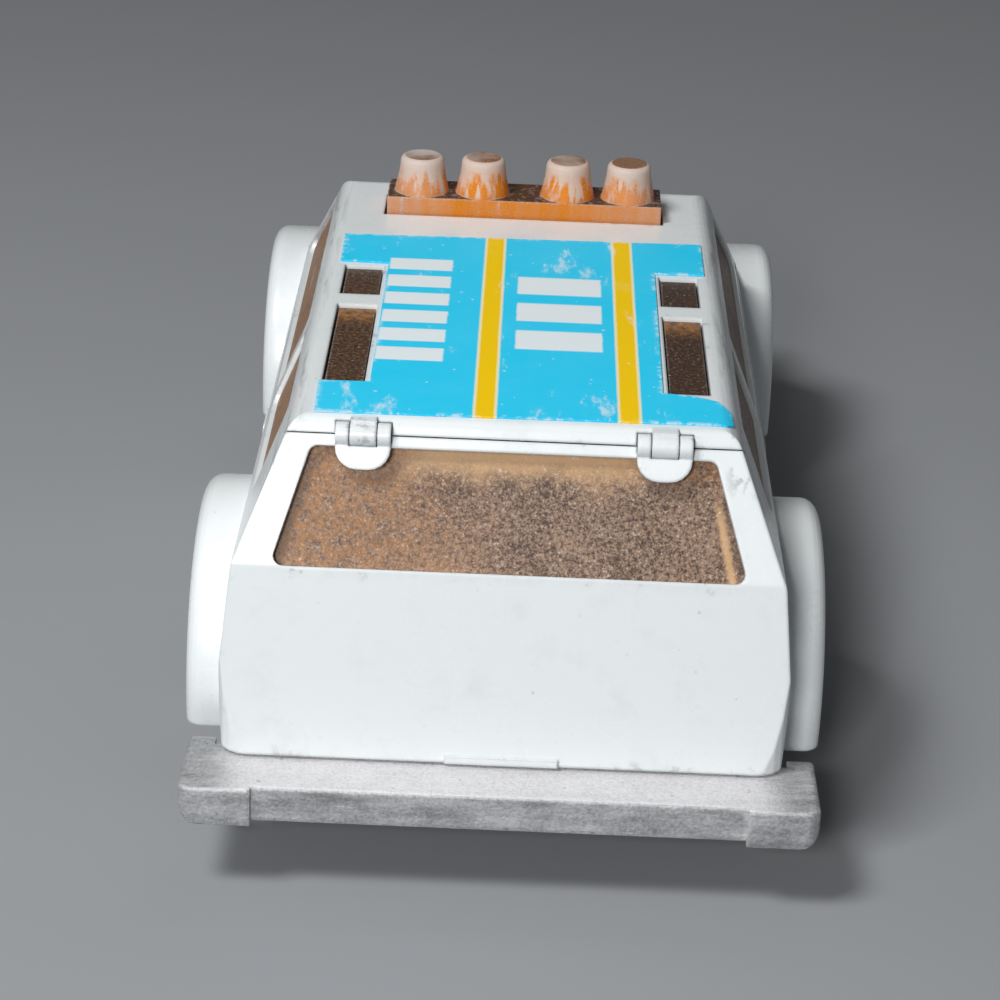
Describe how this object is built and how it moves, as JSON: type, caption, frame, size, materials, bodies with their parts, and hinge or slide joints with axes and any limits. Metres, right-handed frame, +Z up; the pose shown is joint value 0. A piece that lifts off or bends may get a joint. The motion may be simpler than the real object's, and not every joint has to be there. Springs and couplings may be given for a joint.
{
  "type": "toy police car",
  "caption": "Small die-cast toy police car with free-rolling wheels, a lifting tailgate, amber windows and roof light bar, and a blue striped roof label.",
  "frame": {"origin": "on the floor under the middle of the car", "axes": "+X right, +Y forward to the nose, +Z up"},
  "size_m": [0.03, 0.065, 0.0231],
  "materials": {
    "white_paint": "gloss enamel with small chips",
    "amber_plastic": "clear amber moulding, scuffed",
    "label_vinyl": "printed label, worn at the edges",
    "zinc": "bare cast zinc, satin",
    "dark_plastic": "moulded, matt",
    "steel": "drawn wire",
    "wheel_plastic": "moulded, satin",
    "hub_metal": "bright plated insert"
  },
  "bodies": {
    "car": {"body_shell": "white_paint", "hinge_pins": "steel", "glazing": "amber_plastic", "roof_label": "label_vinyl", "base_plate": "zinc", "interior": "dark_plastic", "front_axle": "steel", "rear_axle": "steel", "front_rivet": "zinc", "rear_rivet": "zinc"},
    "tailgate": {"tailgate": "white_paint", "tailgate_glass": "amber_plastic"},
    "wheel_front_left": {"wheel_front_left": "wheel_plastic", "hub_front_left": "hub_metal"},
    "wheel_front_right": {"wheel_front_right": "wheel_plastic", "hub_front_right": "hub_metal"},
    "wheel_rear_left": {"wheel_rear_left": "wheel_plastic", "hub_rear_left": "hub_metal"},
    "wheel_rear_right": {"wheel_rear_right": "wheel_plastic", "hub_rear_right": "hub_metal"}
  },
  "joints": [
    {"name": "tailgate_hinge", "type": "hinge", "parent": "car", "child": "tailgate", "pos_m": [0, -0.0249, 0.01949], "axis": [-1, 0, 0], "range_deg": [0, 70]},
    {"name": "front_left_spin", "type": "hinge", "parent": "car", "child": "wheel_front_left", "pos_m": [-0.0116, 0.01911, 0.0055], "axis": [-1, 0, 0], "continuous": true},
    {"name": "front_right_spin", "type": "hinge", "parent": "car", "child": "wheel_front_right", "pos_m": [0.0116, 0.01911, 0.0055], "axis": [-1, 0, 0], "continuous": true},
    {"name": "rear_left_spin", "type": "hinge", "parent": "car", "child": "wheel_rear_left", "pos_m": [-0.0116, -0.01768, 0.0055], "axis": [-1, 0, 0], "continuous": true},
    {"name": "rear_right_spin", "type": "hinge", "parent": "car", "child": "wheel_rear_right", "pos_m": [0.0116, -0.01768, 0.0055], "axis": [-1, 0, 0], "continuous": true}
  ]
}
